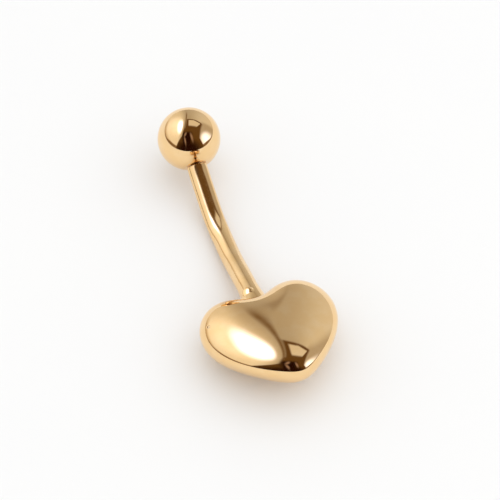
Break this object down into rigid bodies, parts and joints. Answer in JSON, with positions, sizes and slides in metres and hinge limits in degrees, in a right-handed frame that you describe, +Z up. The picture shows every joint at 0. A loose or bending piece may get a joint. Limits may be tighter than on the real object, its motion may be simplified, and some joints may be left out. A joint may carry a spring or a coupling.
{
  "type": "navel ring",
  "caption": "Curved barbell for a navel piercing: a bent round bar with a puffed heart soldered on its lower end and a screw-on ball on its upper end.",
  "frame": {"origin": "on the surface the ring lies on, under the middle of the whole ring", "axes": "+Z up from the surface, +Y from the heart towards the ball along the ring's length, +X to the right with the heart nearest the viewer"},
  "size_m": [0.0104, 0.0278, 0.0061],
  "materials": {
    "gold": "mirror-polished yellow gold tone over surgical steel"
  },
  "bodies": {
    "barbell": {"heart_bar": "gold"},
    "ball": {"ball": "gold"}
  },
  "joints": [
    {"name": "ball_unscrew", "type": "slide", "parent": "barbell", "child": "ball", "axis": [0, 0.8723, 0.489], "range_m": [0, 0.006]}
  ]
}
